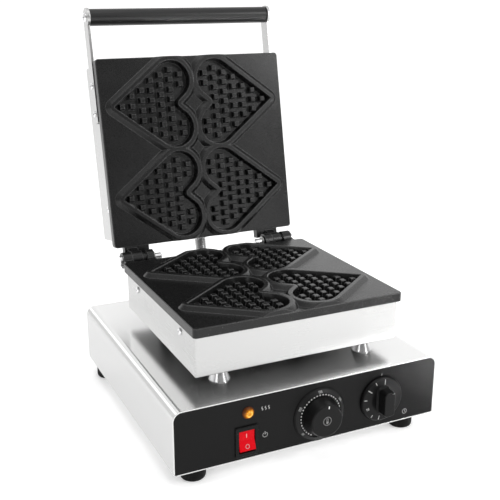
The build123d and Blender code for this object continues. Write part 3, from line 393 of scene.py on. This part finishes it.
class Marks:
    """Thin raised print on a surface: x to the right and z up as seen from the
    front, in mm; lift gives the surface's y at a place."""

    def __init__(self, lift, thick=0.07):
        self.lift, self.thick = lift, thick
        self.bm = bmesh.new()

    def point(self, x, z, up):
        return P(x, self.lift(x, z) - up, z)

    def poly(self, pts):
        n = len(pts)
        low = [self.bm.verts.new(self.point(x, z, -0.02)) for x, z in pts]
        top = [self.bm.verts.new(self.point(x, z, self.thick)) for x, z in pts]
        self.bm.faces.new(top)
        for i in range(n):
            j = (i + 1) % n
            self.bm.faces.new((low[i], low[j], top[j], top[i]))

    def disc(self, x, z, r, seg=18):
        self.poly([(x + r * math.cos(2 * math.pi * i / seg), z + r * math.sin(2 * math.pi * i / seg)) for i in range(seg)])

    def stroke(self, a, b, w):
        dx, dz = b[0] - a[0], b[1] - a[1]
        length = math.hypot(dx, dz)
        ux, uz = dx / length, dz / length
        nx, nz = -uz * w / 2, ux * w / 2
        pts = [(a[0] + nx, a[1] + nz), (a[0] - ux * w * 0.35, a[1] - uz * w * 0.35), (a[0] - nx, a[1] - nz)]
        pts += [(b[0] - nx, b[1] - nz), (b[0] + ux * w * 0.35, b[1] + uz * w * 0.35), (b[0] + nx, b[1] + nz)]
        self.poly(pts)

    def line(self, pts, w):
        for a, b in zip(pts, pts[1:]):
            self.stroke(a, b, w)

    def arc(self, x, z, r, a0, a1, w, seg=24):
        pts = []
        for i in range(seg + 1):
            a = math.radians(a0 + (a1 - a0) * i / seg)
            pts.append((x + r * math.cos(a), z + r * math.sin(a)))
        self.line(pts, w)

    def number(self, text, x, z, h, w, turn=0.0):
        """Digits centred on (x, z), turned by turn degrees."""
        c, s = math.cos(math.radians(turn)), math.sin(math.radians(turn))
        step = 0.72 * h
        x0 = -step * len(text) / 2 + 0.06 * h
        for i, ch in enumerate(text):
            for path in STROKES[ch]:
                pts = []
                for px, pz in path:
                    lx, lz = x0 + i * step + px * h, (pz - 0.5) * h
                    pts.append((x + c * lx - s * lz, z + s * lx + c * lz))
                self.line(pts, w)

    def make(self, name, material, body):
        bmesh.ops.recalc_face_normals(self.bm, faces=self.bm.faces)
        me = bpy.data.meshes.new(name)
        self.bm.to_mesh(me)
        self.bm.free()
        me.materials.append(MATS[material].m)
        ob = bpy.data.objects.new(name, me)
        bpy.context.scene.collection.objects.link(ob)
        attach(ob, body)
        return ob


def polar(cx, cz, r, deg):
    a = math.radians(deg)
    return (cx + r * math.cos(a), cz + r * math.sin(a))


# panel: pictograms beside the lamp, the switch and the timer, index mark
marks = Marks(lambda x, z: 0.0)
for i in range(3):
    x = -58.0 + i * 3.7
    marks.line([(x, 49.2), (x + 0.9, 50.4), (x - 0.7, 51.8), (x + 0.2, 53.1)], 0.62)
marks.arc(-54.6, 21.4, 2.6, 125, 415, 0.62, 26)
marks.stroke((-54.6, 21.8), (-54.6, 25.0), 0.62)
marks.arc(114.6, 8.7, 2.7, 0, 360, 0.55, 26)
marks.line([(114.6, 10.5), (114.6, 8.6), (116.0, 8.0)], 0.55)
marks.make("panel_pictograms", "mark_white", "cabinet")
marks = Marks(lambda x, z: 0.0)
marks.stroke((82.5, 57.9), (82.8, 59.9), 1.1)
marks.make("timer_index_mark", "mark_grey", "cabinet")

# thermostat: dots round the scale ring and plain numbers outside them
TH = (7.5, 30.0)
marks = Marks(lambda x, z: -2.5, 0.3)
for i in range(30):
    marks.disc(*polar(*TH, 22.75, 242.0 - i * 8.78), 0.70, 14)
marks.make("thermostat_scale_dots", "mark_bright", "cabinet")
marks = Marks(lambda x, z: -3.5 + max(0.0, math.hypot(x - TH[0], z - TH[1]) - 24.7) * 0.543)
for text, deg in (("50", 221.0), ("100", 154.0), ("150", 92.0), ("200", 30.0), ("250", 328.0)):
    marks.number(text, *polar(*TH, 26.4, deg), 2.2, 0.5, deg - 90.0)
marks.make("thermostat_scale_numbers", "mark_grey", "cabinet")
marks = Marks(lambda x, z: -17.0)
marks.stroke(polar(*TH, 13.7, 84.5), polar(*TH, 16.2, 84.5), 1.1)
marks.make("thermostat_pointer", "mark_bright", "thermostat_dial_knob")
marks = Marks(lambda x, z: -17.0)
marks.arc(7.3, 30.1, 4.5, 0, 360, 0.75, 36)
marks.line([(6.5, 29.4), (6.5, 33.0), (8.1, 33.0), (8.1, 29.4)], 0.5)
marks.disc(7.3, 28.5, 1.35)
marks.make("thermostat_cap_pictogram", "mark_grey", "thermostat_dial_knob")

# timer: ticks on the left half of the skirt, mark on the bar
TM = (82.3, 31.8)
marks = Marks(lambda x, z: -4.2 - max(0.0, 23.4 - math.hypot(x - TM[0], z - TM[1])) * 0.0851)
for deg, r0, r1 in ((84.0, 17.4, 23.0), (114.0, 19.8, 23.0), (143.0, 17.6, 23.0), (172.0, 20.0, 23.0), (233.0, 20.0, 23.0), (259.0, 18.6, 23.0)):
    marks.stroke(polar(*TM, r0, deg), polar(*TM, r1, deg), 0.75)
marks.number("15", *polar(*TM, 20.0, 203.0), 2.6, 0.55, 12.0)
marks.make("timer_skirt_marks", "mark_white", "timer_dial_knob")
marks = Marks(lambda x, z: -18.58, 0.02)
marks.stroke((TM[0] + 2.4, TM[1] + 12.2), (TM[0] + 4.9, TM[1] + 12.0), 0.8)
marks.make("timer_bar_mark", "mark_bright", "timer_dial_knob")

# rocker: I above and O below, on the two slopes of its face
TILT = math.radians(9.0)
ROCKER = (-75.2, 6.0, 19.6)


def rocker_lift(x, z):
    """The y of the rocker's face at height z; each half of it is a plane."""
    dz = z - ROCKER[2]
    best = 0.0
    for (ya, za), (yb, zb) in (((-6.9, 0.0), (-8.6, 10.6)), ((-6.9, 0.0), (-8.6, -10.6))):
        p = [(y * math.cos(TILT) + q * math.sin(TILT), -y * math.sin(TILT) + q * math.cos(TILT)) for y, q in ((ya, za), (yb, zb))]
        t = (dz - p[0][1]) / (p[1][1] - p[0][1])
        if -0.2 <= t <= 1.2:
            best = p[0][0] + t * (p[1][0] - p[0][0])
    return ROCKER[1] + best


marks = Marks(rocker_lift, 0.08)
marks.stroke((-75.5, 23.7), (-75.5, 27.7), 0.8)
marks.make("rocker_on_mark", "mark_pink", "rocker")
marks = Marks(rocker_lift, 0.08)
marks.arc(-75.3, 14.6, 1.9, 0, 360, 0.75, 28)
marks.make("rocker_off_mark", "mark_pink", "rocker")

# --------------------------------------------- corrugated hose behind the hinge
HOSE_Y, BASE_TOP, HOSE_LID_Z = 288.0, 67.2, 172.0


def open_yz(y, z):
    dy, dz = y - HINGE[1], z - HINGE[2]
    c, s = math.cos(OPEN_ANGLE), math.sin(OPEN_ANGLE)
    return HINGE[1] + dy * c + dz * s, HINGE[2] - dy * s + dz * c


def hose_route():
    """(y, z, angle from upright) along the hose, mm, one place every 0.4 mm."""
    ey, ez = open_yz(240.9 - 2.0, HOSE_LID_Z)
    beta = OPEN_ANGLE - math.pi / 2
    ry = ey - 14.0 * math.sin(beta) - HOSE_Y
    rz = ez - 14.0 * math.cos(beta) - (BASE_TOP + 12.0)
    lo, hi = beta, math.radians(70)
    for _ in range(60):
        mid = (lo + hi) / 2
        miss = (1 + math.cos(beta) - 2 * math.cos(mid)) / (2 * math.sin(mid) - math.sin(beta)) - ry / rz
        lo, hi = (mid, hi) if miss < 0 else (lo, mid)
    alpha = (lo + hi) / 2
    r = rz / (2 * math.sin(alpha) - math.sin(beta))
    out, step = [], 0.4
    z = BASE_TOP - 17.5
    while z < BASE_TOP + 12.0:
        out.append((HOSE_Y, z, 0.0))
        z += step
    n = int(r * alpha / step)
    for i in range(n):
        f = alpha * i / n
        out.append((HOSE_Y + r * (1 - math.cos(f)), BASE_TOP + 12.0 + r * math.sin(f), f))
    ty, tz = HOSE_Y + r * (1 - math.cos(alpha)), BASE_TOP + 12.0 + r * math.sin(alpha)
    n = int(r * (alpha - beta) / step)
    for i in range(n + 1):
        f = alpha + (beta - alpha) * i / n
        out.append((ty + r * (math.cos(f) - math.cos(alpha)), tz + r * (math.sin(alpha) - math.sin(f)), f))
    y, z, f = out[-1]
    n = int(13.6 / step)
    for i in range(1, n + 1):
        out.append((y + i * step * math.sin(f), z + i * step * math.cos(f), f))
    return out


def hose():
    bm = bmesh.new()
    rings, seg = [], 28
    for i, (y, z, f) in enumerate(hose_route()):
        # rounded crests and narrow grooves, about 2.4 mm from one to the next
        wave = abs(math.sin(math.pi * i / 6.0)) ** 0.7
        r = 6.35 + 0.8 * wave
        ring = []
        for k in range(seg):
            a = 2 * math.pi * k / seg
            u, v = r * math.cos(a), r * math.sin(a)
            ring.append(bm.verts.new(P(u, y + v * math.cos(f), z - v * math.sin(f))))
        rings.append(ring)
    for a, b in zip(rings, rings[1:]):
        for k in range(seg):
            j = (k + 1) % seg
            bm.faces.new((a[k], a[j], b[j], b[k]))
    bm.faces.new(rings[0][::-1])
    bm.faces.new(rings[-1])
    bmesh.ops.recalc_face_normals(bm, faces=bm.faces)
    for f in bm.faces:
        f.smooth = True
    me = bpy.data.meshes.new("conduit_hose_corrugated")
    bm.to_mesh(me)
    bm.free()
    me.materials.append(MATS["hose_metal"].m)
    ob = bpy.data.objects.new("conduit_hose_corrugated", me)
    bpy.context.scene.collection.objects.link(ob)
    return ob


hose_obj = hose()
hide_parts("conduit_hose")
route = hose_route()
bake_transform(hose_obj)

# ------------------------------------------------- cut facets of the lamp's lens
def lamp_lens():
    bm = bmesh.new()
    cx, cz = LAMP

    def ring(r, y, n, turn):
        return [
            bm.verts.new(P(cx + r * math.cos(2 * math.pi * (k + turn) / n), y, cz + r * math.sin(2 * math.pi * (k + turn) / n)))
            for k in range(n)
        ]

    n = 9
    table, crown, girdle = ring(2.3, -3.88, n, 0.0), ring(4.3, -3.0, n, 0.5), ring(5.85, -1.2, n, 0.0)
    bm.faces.new(table)
    for k in range(n):
        j, i = (k + 1) % n, (k - 1) % n
        bm.faces.new((table[k], table[j], crown[k]))
        bm.faces.new((crown[i], table[k], crown[k]))
        bm.faces.new((crown[i], crown[k], girdle[k]))
        bm.faces.new((crown[k], girdle[j], girdle[k]))
    seg = 4 * n
    rings = [ring(5.9, -0.9, seg, 0.0), ring(6.4, -0.88, seg, 0.0), ring(6.5, -0.78, seg, 0.0), ring(6.5, -0.02, seg, 0.0), ring(4.9, -0.02, seg, 0.0), ring(4.9, 3.4, seg, 0.0)]
    for k in range(n):
        j = (k + 1) % n
        bm.faces.new([girdle[k], girdle[j]] + [rings[0][(4 * k + q) % seg] for q in (4, 3, 2, 1, 0)])
    for a, b in zip(rings, rings[1:]):
        for k in range(seg):
            j = (k + 1) % seg
            bm.faces.new((a[k], a[j], b[j], b[k]))
    bm.faces.new(rings[-1])
    bmesh.ops.recalc_face_normals(bm, faces=bm.faces)
    me = bpy.data.meshes.new("pilot_lamp_facets")
    bm.to_mesh(me)
    bm.free()
    me.materials.append(MATS["amber_lens"].m)
    ob = bpy.data.objects.new("pilot_lamp_facets", me)
    bpy.context.scene.collection.objects.link(ob)
    return ob


lens_obj = lamp_lens()
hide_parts("pilot_lamp_lens")
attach(lens_obj, "cabinet")

# ---------------------------------------------------------------- the studio
FRONT_LEVEL, BACK_LEVEL, TOP_LEVEL = 0.25, 1.35, 1.0

cam_data = bpy.data.cameras.new("camera")
cam = bpy.data.objects.new("camera", cam_data)
bpy.context.scene.collection.objects.link(cam)
cam_data.lens = 60.86
cam_data.sensor_width = 36.0
cam_data.sensor_fit = "HORIZONTAL"
cam_data.clip_end = 400.0
cam.location = (-0.3914, -0.8512, 0.4703)
aim = Vector((0.0, -0.0286, 0.18367)) - Vector(cam.location)
cam.rotation_euler = aim.to_track_quat("-Z", "Y").to_euler()
bpy.context.scene.camera = cam

bm = bmesh.new()
bmesh.ops.create_grid(bm, x_segments=8, y_segments=8, size=120.0)
floor_mesh = bpy.data.meshes.new("floor")
bm.to_mesh(floor_mesh)
bm.free()
floor = bpy.data.objects.new("floor", floor_mesh)
bpy.context.scene.collection.objects.link(floor)
fm = Mat("floor_pale", Specular_IOR_Level=0.1)
pale = fm.mix(fm.noise(3.0, 3.0), (0.90, 0.90, 0.90), (0.93, 0.93, 0.93))
fm.set("Base Color", pale)
fm.set("Emission Color", pale)
fm.b.inputs["Emission Strength"].default_value = 0.35
fm.set("Roughness", fm.span(fm.noise(60.0, 3.0), 0.75, 0.9, 0.3, 0.7))
floor_mesh.materials.append(fm.m)

# A white room with a dim front wall: bright behind and overhead.
world = bpy.data.worlds.new("studio")
bpy.context.scene.world = world
world.use_nodes = True
wt = world.node_tree
wt.nodes.clear()


def w_node(kind, **props):
    node = wt.nodes.new(kind)
    for k, v in props.items():
        setattr(node, k, v)
    return node


def w_range(value, a, b, lo, hi):
    r = w_node("ShaderNodeMapRange", interpolation_type="SMOOTHSTEP")
    for k, v in (("From Min", a), ("From Max", b), ("To Min", lo), ("To Max", hi)):
        r.inputs[k].default_value = v
    wt.links.new(value, r.inputs["Value"])
    return r.outputs["Result"]


def w_math(op, a, b):
    n = w_node("ShaderNodeMath", operation=op)
    for i, v in enumerate((a, b)):
        if isinstance(v, (int, float)):
            n.inputs[i].default_value = v
        else:
            wt.links.new(v, n.inputs[i])
    return n.outputs[0]


w_out = w_node("ShaderNodeOutputWorld")
w_bg = w_node("ShaderNodeBackground")
w_sep = w_node("ShaderNodeSeparateXYZ")
wt.links.new(w_node("ShaderNodeTexCoord").outputs["Generated"], w_sep.inputs[0])
back = w_range(w_sep.outputs["Y"], -0.55, 0.25, FRONT_LEVEL, BACK_LEVEL)
overhead = w_range(w_sep.outputs["Z"], 0.25, 0.75, 0.0, 1.0)
level = w_math("ADD", w_math("MULTIPLY", back, w_math("SUBTRACT", 1.0, overhead)), w_math("MULTIPLY", overhead, TOP_LEVEL))

# a dim flag behind and to the left draws the bends of the sheet steel
w_off = w_node("ShaderNodeVectorMath", operation="DISTANCE")
wt.links.new(w_sep.inputs[0].links[0].from_socket, w_off.inputs[0])
w_off.inputs[1].default_value = (-0.31, 0.86, 0.41)
level = w_math("MULTIPLY", level, w_range(w_off.outputs["Value"], 0.05, 0.20, 3.0, 1.0))
level = w_math("MULTIPLY", level, w_range(w_sep.outputs["X"], -0.35, -0.05, 0.70, 1.0))
wt.links.new(level, w_bg.inputs["Strength"])
w_bg.inputs["Color"].default_value = (1.0, 1.0, 1.0, 1.0)
wt.links.new(w_bg.outputs[0], w_out.inputs[0])


def area(name, at, to, size, power, colour=(1, 1, 1)):
    d = bpy.data.lights.new(name, "AREA")
    d.shape = "RECTANGLE"
    d.size, d.size_y = size
    d.energy = power
    d.color = colour
    o = bpy.data.objects.new(name, d)
    bpy.context.scene.collection.objects.link(o)
    o.location = at
    o.rotation_euler = (Vector(to) - Vector(at)).to_track_quat("-Z", "Y").to_euler()
    return o


area("right_front", (1.22, -1.25, 1.10), (0.05, 0, 0.25), (0.60, 0.60), 15.0)
area("top", (-0.3, -0.2, 2.2), (0, 0, 0.1), (1.2, 1.0), 8.0)
area("strip_left", (-1.05, -0.85, 0.24), (0.0, -0.1, 0.10), (0.22, 0.50), 1.2)
area("strip_right", (0.62, -1.25, 0.24), (0.0, -0.1, 0.10), (0.22, 0.50), 1.0)
pool = area("floor_pool", (0.29, -0.24, 0.9), (0.29, -0.24, 0.0), (0.10, 0.16), 1.1)
pool.data.spread = math.radians(8.0)

bpy.context.scene.view_settings.view_transform = "Standard"
bpy.context.scene.view_settings.look = "None"
